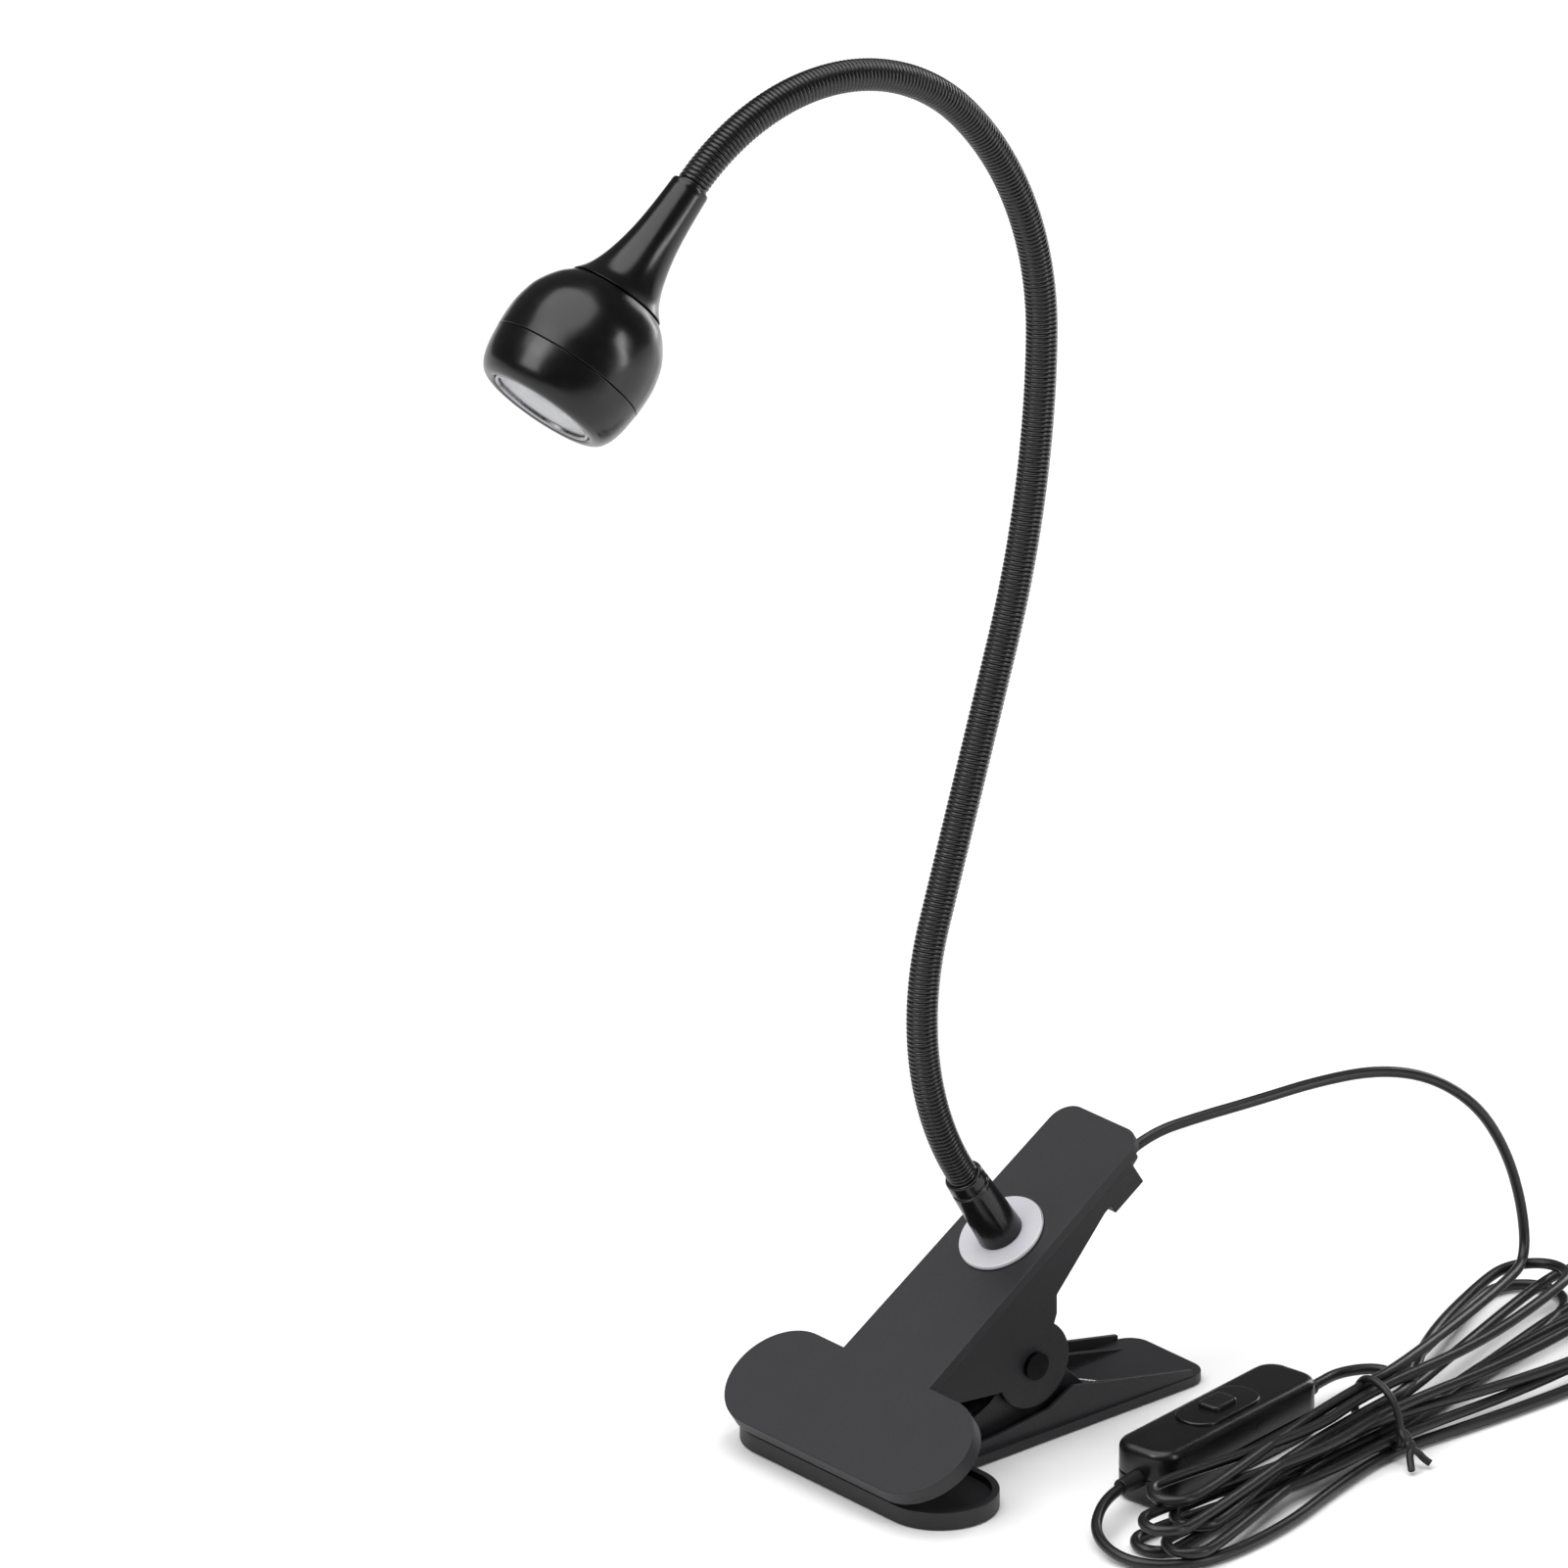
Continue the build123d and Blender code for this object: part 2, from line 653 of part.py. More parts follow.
hank_outline = [(-34, -84), (-18, -100), (62, -91), (120, -92), (176, -74), (186, -44),
                (166, -14), (120, -32), (54, -67.5), (0, -75)]
with BuildPart() as cord_hank:
    with BuildSketch(Plane.XY):
        with BuildLine():
            FilletPolyline(*hank_outline, radius=8.0, close=True)
        make_face()
    extrude(amount=hank_height)
    fillet(faces().sort_by(Axis.Z)[-1].edges(), 4.0)
    add(twist_tie.part, mode=Mode.SUBTRACT)
save(cord_hank, "cord_hank")

# ---------------------------------------------------------------- switch
switch_plane = Plane(origin=(*switch_centre, 0), x_dir=(cos(radians(switch_turn)),
                                                        sin(radians(switch_turn)), 0),
                     z_dir=(0, 0, 1))
split_height = 7.0
top_pad = 0.8
ceiling = switch_height - top_pad - switch_wall
corner = 6.0


def switch_at(x, y, z):
    return switch_plane.from_local_coords(Vector(x, y, z))


def switch_shell(low, high, wall_end):
    """A half of the switch's body: walls and one closed end."""
    with BuildSketch(switch_plane.offset(low)) as outside:
        RectangleRounded(switch_length, switch_width, corner)
    extrude(outside.sketch, amount=high - low)
    with BuildSketch(switch_plane.offset(wall_end[0])) as inside:
        RectangleRounded(switch_length - 2 * switch_wall, switch_width - 2 * switch_wall,
                         corner - switch_wall)
    extrude(inside.sketch, amount=wall_end[1] - wall_end[0], mode=Mode.SUBTRACT)
    for side in (-1, 1):
        with BuildSketch(Plane(origin=switch_at(side * (switch_length / 2 - 4), 0, split_height),
                               z_dir=switch_plane.x_dir)) as hole:
            Circle(relief_radius + slip)
        extrude(hole.sketch, amount=8, both=True, mode=Mode.SUBTRACT)


relief_radius = 2.6
relief_length = 7.0
screw_places = [(24.0, 5.2), (-24.0, -5.2)]
boss = 2.6
with BuildPart() as switch_base:
    switch_shell(0, split_height, (switch_wall, split_height))
    with BuildSketch(switch_plane):
        with Locations(*screw_places):
            Circle(boss)
    extrude(amount=split_height)
    with BuildSketch(switch_plane):
        with Locations(*screw_places):
            Circle(screw_radius + press_clearance)
    extrude(amount=split_height, mode=Mode.SUBTRACT)
    fillet(faces().sort_by(Axis.Z)[0].outer_wire().edges(), 1.5)
save(switch_base, "switch_base")

with BuildPart() as switch_cover:
    switch_shell(split_height, switch_height - top_pad, (split_height, ceiling))
    with BuildSketch(switch_plane.offset(ceiling)):
        RectangleRounded(26, 12.5, 5.0)
    extrude(amount=switch_wall + top_pad)
    with BuildSketch(switch_plane.offset(split_height)):
        with Locations(*screw_places):
            Circle(boss)
            Circle(screw_radius + press_clearance, mode=Mode.SUBTRACT)
    extrude(amount=ceiling - split_height)
    with BuildSketch(switch_plane.offset(split_height)):
        RectangleRounded(button_length + 2 * button_gap, button_width + 2 * button_gap, 2.0)
    extrude(amount=switch_height, mode=Mode.SUBTRACT)
save(switch_cover, "switch_cover")

with BuildPart() as switch_screws:
    with BuildSketch(switch_plane.offset(0.3)):
        with Locations(*screw_places):
            Circle(screw_radius)
    extrude(amount=10.0)
save(switch_screws, "switch_screws")

# button, its return spring and the contact block under it
block_top = 8.5
button_foot = 2.0
button_rise = 2.2
with BuildPart() as contact_block:
    with BuildSketch(switch_plane.offset(switch_wall)):
        Rectangle(20, 11)
    extrude(amount=block_top - switch_wall)
    with BuildSketch(switch_plane.offset(block_top - 3.0)):
        Circle(2.2)
    extrude(amount=3.0, mode=Mode.SUBTRACT)
save(contact_block, "contact_block")

with BuildPart() as contact_strips:
    for side in (-1, 1):
        with BuildSketch(Plane(origin=switch_at(side * 12.5, 0, 5.0),
                               z_dir=switch_plane.x_dir)) as strip:
            Rectangle(4, 0.6)
        extrude(strip.sketch, amount=2.4, both=True)
save(contact_strips, "contact_strips")

button_bottom = block_top + button_travel + 0.3
with BuildPart() as switch_button:
    with BuildSketch(switch_plane.offset(button_bottom)):
        RectangleRounded(button_length, button_width, 1.8)
    extrude(amount=switch_height + button_rise - button_bottom)
    fillet(faces().sort_by(Axis.Z)[-1].edges(), 0.9)
    with BuildSketch(switch_plane.offset(button_bottom)):
        RectangleRounded(button_length + 1.8, button_width + 1.8, 1.8)
    extrude(amount=ceiling - 0.3 - button_bottom)
save(switch_button, "switch_button")

spring_floor = block_top - 3.0
with BuildPart() as button_spring:
    with BuildLine() as turns:
        Helix(1.1, button_bottom - spring_floor - 0.5, 1.5,
              center=tuple(switch_at(0, 0, spring_floor + 0.25)))
    with BuildSketch(Plane(origin=turns.line @ 0, z_dir=turns.line % 0)):
        Circle(0.2)
    sweep(path=turns.line, is_frenet=True)
save(button_spring, "button_spring")


def strain_relief(node, side):
    """A tapered sleeve that holds the cord where it leaves the switch."""
    out = switch_plane.x_dir * side
    inner = switch_at(side * (switch_length / 2 - 4), 0, split_height)
    with BuildPart() as relief:
        with BuildSketch(Plane(origin=inner, z_dir=out)):
            Circle(relief_radius)
        extrude(amount=4 + relief_length, taper=3)
        with BuildSketch(Plane(origin=inner, z_dir=out)):
            Circle(cord_radius + slip)
        extrude(amount=4 + relief_length, mode=Mode.SUBTRACT)
    save(relief, node)
    return switch_at(side * (switch_length / 2 + relief_length), 0, split_height)


lamp_end = strain_relief("lamp_strain_relief", 1)
plug_end = strain_relief("plug_strain_relief", -1)

# lead ends inside the switch, from the reliefs' mouths to the contact strips
with BuildPart() as switch_leads:
    for side in (-1, 1):
        with BuildSketch(Plane(origin=switch_at(side * 15.5, 0, split_height),
                               z_dir=switch_plane.x_dir * side)) as section:
            Circle(cord_radius)
        extrude(section.sketch, amount=switch_length / 2 + relief_length - 15.5)
save(switch_leads, "switch_leads")

# ---------------------------------------------------------------- leads on the surface
cord("switch_lead", [tuple(lamp_end), (76, -42.5, 6.4), (86, -49, 7.0), (88, -60, 8.0)])
cord("plug_lead", [tuple(plug_end), (-25, -62.5, 5.0), (-34.5, -70.5, 3.0), (-32.5, -82.5, 2.6),
                   (-21, -86.5, 3.4)])
plug_face = (203.0, -52.0, plug_height / 2)
cord("plug_tail", [(176, -40, 6.0), (189, -32, 4.4), (202, -37, 3.9), plug_face])

# ---------------------------------------------------------------- plug
plug_way = (0, -1, 0)
plug_plane = Plane(origin=plug_face, x_dir=(1, 0, 0), z_dir=plug_way)
shell_length, shell_width, shell_height = usb_shell
with BuildPart() as plug_body:
    with BuildSketch(plug_plane):
        RectangleRounded(plug_width * 0.6, plug_height * 0.8, 2.4)
    with BuildSketch(plug_plane.offset(6)):
        RectangleRounded(plug_width, plug_height, 2.4)
    loft()
    with BuildSketch(plug_plane.offset(6)):
        RectangleRounded(plug_width, plug_height, 2.4)
    extrude(amount=plug_length - 6)
    with BuildSketch(plug_plane.offset(plug_length - 4)):
        Rectangle(shell_width, shell_height)
    extrude(amount=4, mode=Mode.SUBTRACT)
save(plug_body, "plug_body")

with BuildPart() as plug_shell:
    with BuildSketch(plug_plane.offset(plug_length - 4)):
        Rectangle(shell_width, shell_height)
        Rectangle(shell_width - 2 * usb_wall, shell_height - 2 * usb_wall, mode=Mode.SUBTRACT)
    extrude(amount=4 + shell_length)
save(plug_shell, "plug_shell")

with BuildPart() as plug_insulator:
    with BuildSketch(plug_plane.offset(plug_length - 4)):
        with Locations((0, -0.95)):
            Rectangle(shell_width - 2 * usb_wall - 0.1, 1.8)
    extrude(amount=4 + shell_length - 1.5)
save(plug_insulator, "plug_insulator")
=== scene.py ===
# %% [markdown]
# # A clip-on UV curing lamp
# A sprung plastic clip holds a bendable steel gooseneck with a polished LED head on its end. A thin
# cord leaves the clip's handle, lies in a tied hank and carries a push switch. The CAD frame gives
# every piece its place and its motion; this script gives each one its final surface.

# %% Load the frame
from math import ceil, copysign, cos, floor, pi, radians, sin
import bmesh
import bpy
import numpy as np
from mathutils import Matrix, Vector


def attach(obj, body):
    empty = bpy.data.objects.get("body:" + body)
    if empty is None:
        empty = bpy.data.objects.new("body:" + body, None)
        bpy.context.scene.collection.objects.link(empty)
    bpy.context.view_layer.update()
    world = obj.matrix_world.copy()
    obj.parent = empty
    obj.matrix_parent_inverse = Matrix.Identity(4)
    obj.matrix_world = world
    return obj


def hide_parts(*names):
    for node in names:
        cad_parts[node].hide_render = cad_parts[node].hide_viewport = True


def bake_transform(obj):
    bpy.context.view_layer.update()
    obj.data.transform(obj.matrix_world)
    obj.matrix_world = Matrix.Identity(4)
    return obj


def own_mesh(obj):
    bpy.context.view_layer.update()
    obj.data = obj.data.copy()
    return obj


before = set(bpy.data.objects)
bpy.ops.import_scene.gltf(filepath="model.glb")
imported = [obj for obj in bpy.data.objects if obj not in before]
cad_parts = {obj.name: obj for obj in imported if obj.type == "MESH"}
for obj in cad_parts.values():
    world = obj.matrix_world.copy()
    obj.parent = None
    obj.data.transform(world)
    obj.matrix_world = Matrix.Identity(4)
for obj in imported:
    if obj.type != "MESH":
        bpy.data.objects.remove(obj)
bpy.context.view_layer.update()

MM = 0.001
scene = bpy.context.scene

# %% [markdown]
# ## Camera
# The camera stands 3.5 m away with a long lens, so nothing converges: the gooseneck is as wide at its
# top as at its foot. It looks down by 22 degrees, from the jaws' side of the clip.

# %% Camera
CAMERA_DISTANCE = 3.5    # metres
CAMERA_TURN = radians(40.5)
CAMERA_RISE = radians(22.0)
LOOK_AT = Vector((-13.4, 67.2, 155.6)) * MM
VIEW_WIDTH = 390.5 * MM
SENSOR = 36.0            # millimetres

toward = Vector((-sin(CAMERA_TURN) * cos(CAMERA_RISE), -cos(CAMERA_TURN) * cos(CAMERA_RISE),
                 sin(CAMERA_RISE)))
camera_data = bpy.data.cameras.new("studio_camera")
camera_data.sensor_width = SENSOR
camera_data.lens = SENSOR * CAMERA_DISTANCE / VIEW_WIDTH
camera_data.clip_end = 20.0
camera = bpy.data.objects.new("studio_camera", camera_data)
camera.location = LOOK_AT + toward * CAMERA_DISTANCE
camera.rotation_mode = "QUATERNION"
camera.rotation_quaternion = toward.to_track_quat("Z", "Y")
scene.collection.objects.link(camera)
scene.camera = camera
print("lens", round(camera_data.lens), "mm")

# %% [markdown]
# ## Colours and nodes
# Colours are written as the sRGB hex values that a swatch would show. Shaders work in linear light,
# so one function converts them, and one more adds a node and sets its inputs.


# %% Colour and node helpers
def linear(swatch):
    """An sRGB hex colour as linear RGBA."""
    parts = [int(swatch[i:i + 2], 16) / 255 for i in (1, 3, 5)]
    return [p / 12.92 if p <= 0.04045 else ((p + 0.055) / 1.055) ** 2.4 for p in parts] + [1.0]


def add_node(tree, kind, settings=None, **inputs):
    """A node with its settings, and its inputs given as values or as sockets to link."""
    made = tree.nodes.new(kind)
    for name, value in (settings or {}).items():
        setattr(made, name, value)
    for name, value in inputs.items():
        socket = made.inputs[int(name[1:])] if name[0] == "_" else made.inputs[name.replace("_", " ")]
        if isinstance(value, bpy.types.NodeSocket):
            tree.links.new(value, socket)
        else:
            socket.default_value = value
    return made


def new_material(name):
    """An empty node material with its shader, and the Object coordinates that patterns use."""
    material = bpy.data.materials.new(name)
    material.use_nodes = True
    tree = material.node_tree
    tree.nodes.clear()
    shader = add_node(tree, "ShaderNodeBsdfPrincipled")
    output = add_node(tree, "ShaderNodeOutputMaterial")
    tree.links.new(shader.outputs["BSDF"], output.inputs["Surface"])
    place = add_node(tree, "ShaderNodeTexCoord").outputs["Object"]
    return material, tree, shader, place


def grain(tree, place, size_mm, detail=2.0):
    """Noise whose blotches are about size_mm across."""
    return add_node(tree, "ShaderNodeTexNoise", Vector=place, Scale=1000 / size_mm, Detail=detail)


def ramp(tree, value, start, end):
    """Maps the middle stretch of a noise, where nearly all of it lies, to a range of numbers."""
    return add_node(tree, "ShaderNodeMapRange", _0=value, _1=0.3, _2=0.7, _3=start,
                    _4=end).outputs[0]


def two_tone(tree, value, dark, light):
    """A colour that drifts between two swatches with a pattern."""
    mix = add_node(tree, "ShaderNodeMix", {"data_type": "RGBA"}, _0=value, _6=linear(dark),
                   _7=linear(light))
    return mix.outputs[2]


def bump(tree, shader, height, depth_mm):
    """Gives the shader a relief of a stated depth."""
    relief = add_node(tree, "ShaderNodeBump", Strength=1.0, Distance=depth_mm * MM, Height=height)
    tree.links.new(relief.outputs["Normal"], shader.inputs["Normal"])


# %% [markdown]
# ## Finishes
# Nearly everything here is black, so the finishes must tell the parts apart: polished ABS on the
# head, spark-eroded ABS on the clip, lacquer on the steel neck and a dull PVC sheath on the cord.


# %% Plastic and rubber finishes
PLASTIC_IOR = 1.47
ACRYLIC_IOR = 1.49


def moulded_plastic(name, dark, light, rough, grain_mm, depth_mm):
    """Moulded ABS or PVC. The mould's texture decides how wide its highlights spread."""
    material, tree, shader, place = new_material(name)
    drift = grain(tree, place, 9.0, 3.0).outputs["Fac"]
    fine = grain(tree, place, grain_mm, 3.0).outputs["Fac"]
    tree.links.new(two_tone(tree, drift, dark, light), shader.inputs["Base Color"])
    shade = ramp(tree, fine, rough * 0.88, rough * 1.12)
    tree.links.new(shade, shader.inputs["Roughness"])
    shader.inputs["IOR"].default_value = PLASTIC_IOR
    if depth_mm:
        bump(tree, shader, fine, depth_mm)
    return material


# the clip's texture is a fine spark-eroded one, drawn a little coarser than life so that it shows
clip_abs = moulded_plastic("clip_textured_abs", "#161619", "#1c1c20", 0.52, 0.45, 0.012)
head_abs = moulded_plastic("head_polished_abs", "#030304", "#060607", 0.24, 3.0, 0.0)
switch_abs = moulded_plastic("switch_satin_abs", "#08080a", "#0d0d0f", 0.3, 6.0, 0.0)
button_abs = moulded_plastic("button_abs", "#0a0a0b", "#101012", 0.36, 0.5, 0.006)
collar_abs = moulded_plastic("collar_abs", "#060607", "#0a0a0b", 0.22, 1.5, 0.0)
washer_abs = moulded_plastic("washer_pale_abs", "#c2c2c8", "#cfcfd5", 0.36, 0.7, 0.002)
sheath_pvc = moulded_plastic("cord_pvc_sheath", "#0e0e0f", "#151516", 0.38, 0.7, 0.01)
tie_pvc = moulded_plastic("twist_tie_pvc", "#0a0a0b", "#111113", 0.5, 0.5, 0.01)
relief_pvc = moulded_plastic("strain_relief_pvc", "#101011", "#161618", 0.46, 0.5, 0.01)
pad_rubber = moulded_plastic("pad_rubber", "#0e0e0f", "#151516", 0.7, 0.4, 0.02)
board_mask = moulded_plastic("board_solder_mask", "#d9dcd8", "#e6e8e4", 0.4, 0.8, 0.003)
insulator_pbt = moulded_plastic("plug_insulator_pbt", "#e2e2de", "#ecece8", 0.45, 0.6, 0.003)
wire_pvc = moulded_plastic("wire_insulation_pvc", "#8e1512", "#a81b16", 0.4, 0.8, 0.003)
phosphor = moulded_plastic("led_silicone_dome", "#cfc48a", "#e0d69c", 0.3, 0.5, 0.003)


# %% Metal, lacquer and clear finishes
def plated_metal(name, dark, light, rough, scratch_mm=0.4):
    """Plated or drawn steel: fine scratches break up its reflections."""
    material, tree, shader, place = new_material(name)
    drift = grain(tree, place, 4.0, 3.0).outputs["Fac"]
    scratches = grain(tree, place, scratch_mm, 4.0).outputs["Fac"]
    tree.links.new(two_tone(tree, drift, dark, light), shader.inputs["Base Color"])
    shade = ramp(tree, scratches, rough * 0.75, rough * 1.3)
    tree.links.new(shade, shader.inputs["Roughness"])
    shader.inputs["Metallic"].default_value = 1.0
    bump(tree, shader, scratches, 0.004)
    return material


spring_steel = plated_metal("spring_steel", "#6d6d70", "#8a8a8e", 0.32)
pin_steel = plated_metal("pin_blacked_steel", "#1c1c1e", "#2a2a2d", 0.38)
nickel = plated_metal("plug_nickel", "#b9b9bd", "#cfcfd2", 0.22)
zinc = plated_metal("screw_zinc", "#9c9ca0", "#b8b8bb", 0.3)
brass = plated_metal("contact_brass", "#b08f4c", "#c7a65e", 0.3)
aluminium = plated_metal("sink_aluminium", "#a9a9ad", "#c2c2c5", 0.34)
chrome = plated_metal("reflector_metallised", "#77777b", "#8c8c90", 0.24, 1.2)
trim_metal = plated_metal("trim_metallised", "#8e8e92", "#a6a6aa", 0.3, 1.2)


def neck_lacquer():
    """Black lacquer baked on the steel hose: dielectric gloss."""
    material, tree, shader, place = new_material("neck_black_lacquer")
    drift = grain(tree, place, 5.0, 3.0).outputs["Fac"]
    fine = grain(tree, place, 0.5, 3.0).outputs["Fac"]
    tree.links.new(two_tone(tree, drift, "#060607", "#0c0c0d"), shader.inputs["Base Color"])
    shade = ramp(tree, fine, 0.24, 0.36)
    tree.links.new(shade, shader.inputs["Roughness"])
    shader.inputs["Specular IOR Level"].default_value = 0.55
    bump(tree, shader, fine, 0.006)
    return material


def clear_acrylic():
    """Clear moulded acrylic: transmits nearly all light, with a faint cloudiness."""
    material, tree, shader, place = new_material("lens_clear_acrylic")
    cloud = grain(tree, place, 2.0, 3.0).outputs["Fac"]
    tree.links.new(ramp(tree, cloud, 0.03, 0.10), shader.inputs["Roughness"])
    tree.links.new(two_tone(tree, cloud, "#b4b7bd", "#c6c9ce"), shader.inputs["Base Color"])
    shader.inputs["Transmission Weight"].default_value = 0.92
    shader.inputs["IOR"].default_value = ACRYLIC_IOR
    shader.inputs["Specular IOR Level"].default_value = 0.3
    return material


lacquer = neck_lacquer()
acrylic = clear_acrylic()


# %% [markdown]
# ## Pieces
# A finished piece sits at the origin with its place in its mesh. It names the body it moves with
# and the CAD node it stands for.


# %% Piece helpers
MERGE_MM = 0.002
FLAT_ANGLE = radians(0.4)


def finish_piece(piece, material, body, nodes=()):
    """Gives a piece its material, its body and the CAD nodes it replaces."""
    piece.data.materials.clear()
    piece.data.materials.append(material)
    if body:
        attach(piece, body)
    if nodes:
        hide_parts(*nodes)
    return piece


def mesh_piece(name, bm, smooth=35.0):
    """An object made from a bmesh, shaded smooth except at edges sharper than the angle."""
    mesh = bpy.data.meshes.new(name)
    bm.to_mesh(mesh)
    bm.free()
    piece = bpy.data.objects.new(name, mesh)
    scene.collection.objects.link(piece)
    mesh.shade_smooth()
    mesh.set_sharp_from_angle(angle=radians(smooth))
    return piece


def rounded(piece, width_mm, segments=3, angle=30.0):
    """Breaks a piece's sharp edges with a bevel."""
    rounding = piece.modifiers.new("rounding", "BEVEL")
    rounding.width = width_mm * MM
    rounding.segments = segments
    rounding.limit_method = "ANGLE"
    rounding.angle_limit = radians(angle)
    rounding.harden_normals = True
    return piece


def softened(node, name, material, body, width_mm, segments=3, angle=35.0):
    """A copy of a CAD node with its sharp moulded edges rounded over."""
    bm = bmesh.new()
    bm.from_mesh(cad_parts[node].data)
    bmesh.ops.remove_doubles(bm, verts=bm.verts, dist=MERGE_MM * MM)
    bmesh.ops.dissolve_limit(bm, angle_limit=FLAT_ANGLE, verts=bm.verts, edges=bm.edges)
    piece = rounded(mesh_piece(name, bm, angle), width_mm, segments, angle)
    return finish_piece(piece, material, body, (node,))


# %% Studio floor, world and lights
FLOOR_DROP = 0.3 * MM
WORLD_STRENGTH = 0.13


def studio():
    """A pale floor under soft boxes, with a plain white world."""
    bm = bmesh.new()
    bmesh.ops.create_grid(bm, x_segments=1, y_segments=1, size=6.0)
    ground = mesh_piece("studio_floor", bm)
    material, _, shader, _ = new_material("studio_floor_paper")
    shader.inputs["Base Color"].default_value = linear("#f4f4f4")
    shader.inputs["Roughness"].default_value = 0.9
    ground.data.materials.append(material)
    ground.location.z = -FLOOR_DROP
    world = bpy.data.worlds.new("studio_world")
    world.use_nodes = True
    world.node_tree.nodes["Background"].inputs["Color"].default_value = linear("#ffffff")
    world.node_tree.nodes["Background"].inputs["Strength"].default_value = WORLD_STRENGTH
    scene.world = world


def soft_box(name, place, aim, size, power):
    """A rectangular area light that faces a point."""
    light = bpy.data.lights.new(name, "AREA")
    light.shape = "RECTANGLE"
    light.size, light.size_y = size
    light.energy = power
    lamp = bpy.data.objects.new(name, light)
    lamp.location = place
    lamp.rotation_mode = "QUATERNION"
    lamp.rotation_quaternion = (Vector(place) - Vector(aim)).to_track_quat("Z", "Y")
    scene.collection.objects.link(lamp)


def overhead_sun(name, aim, strength, spread):
    """A wide soft light far overhead, which whitens the whole floor evenly."""
    light = bpy.data.lights.new(name, "SUN")
    light.energy = strength
    light.angle = radians(spread)
    lamp = bpy.data.objects.new(name, light)
    lamp.rotation_mode = "QUATERNION"
    lamp.rotation_quaternion = Vector(aim).to_track_quat("Z", "Y")
    scene.collection.objects.link(lamp)


studio()
overhead_sun("overhead", (-0.25, 0.1, 1.0), 2.9, 70)
middle = (-0.02, 0.0, 0.18)
soft_box("key_box", (-1.3, 0.1, 1.1), middle, (0.7, 0.7), 7.0)
soft_box("side_box", (0.5, -1.3, 0.6), middle, (0.25, 0.9), 6.0)
soft_box("rim_box", (1.2, 0.2, 0.5), middle, (0.3, 0.9), 5.0)
scene.view_settings.view_transform = "Standard"

# %% [markdown]
# ## Cords
# The lead is a limp 2.8 mm cord. It arches from the handle to the surface, runs back and forth in a
# hank of five turns held by a twist tie, and ends in the switch. Each turn lies a cord's thickness
# lower than the one before, so no strand passes through another.

# %% Cord routes
CORD_D = 2.8 * MM
ARM_TILT = 33.4          # degrees between the two arms with the jaws closed
GLAND_ALONG, GLAND_ACROSS, GLAND_OFF = 56, -7, 17.8
LEAD_GAP = 0.3
arm_angle = radians(ARM_TILT)
arm_x = Vector((cos(arm_angle), 0, sin(arm_angle)))
arm_z = Vector((-sin(arm_angle), 0, cos(arm_angle)))
pivot = Vector((0, 0, 20.6)) * MM
gland_tip = (pivot + arm_x * GLAND_ALONG * MM + Vector((0, GLAND_ACROSS, 0)) * MM
             + arm_z * GLAND_OFF * MM)
lead_start = gland_tip + arm_x * LEAD_GAP * MM
ARCH = [(43.4, -7.8, 69.6), (56, -11, 71.4), (72, -15, 72.8), (90, -18, 74), (108, -21, 73.2),
        (124, -23.5, 67.8), (138, -26, 57), (147, -27.5, 42.5), (151.5, -29, 27),
        (151, -31.5, 14), (142, -37, 11.8)]
SWITCH_LEAD = [(88, -52, 5.0), (86, -46, 6.0), (76, -42.5, 6.4)]
TIE = Vector((61, -73, 0))
LAYER = 2.85             # from one turn's centre line to the next one's below it
FLOOR_GAP = 1.5          # the lowest strand's centre line above the floor
STRAND_SHIFT = 1.7       # half the way between a turn's two strands in the tie
FAN = 24                 # how far before the tie the strands start to close up
# each turn: where its far fold is centred, that fold's radius, its place in the tie, near fold
TURNS = [(Vector((143, -40)), 11.0, 3.0, Vector((-11, -79))),
         (Vector((158, -48)), 13.0, -2.2, Vector((-20, -86))),
         (Vector((154, -64)), 12.0, 1.2, Vector((-8, -84))),
         (Vector((160, -56)), 14.0, -3.6, Vector((-16, -90))),
         (Vector((147, -34)), 12.0, 2.4, Vector((-17, -80)))]
NEAR_RADIUS = 6.6
HUMP = 1.28              # the bundle stands taller in its tie than where it fans out


def fold(centre, way, radius, z_in, z_out, side):
    """Five points round the end of a bight, from one strand to the other."""
    across = Vector((-way.y, way.x)) * side
    points = []
    for step in range(5):
        turn = radians(-90 + 45 * step)
        at = centre + way * radius * 1.15 * cos(turn) + across * radius * sin(turn)
        points.append((at.x, at.y, z_in + (z_out - z_in) * step / 4))
    return points


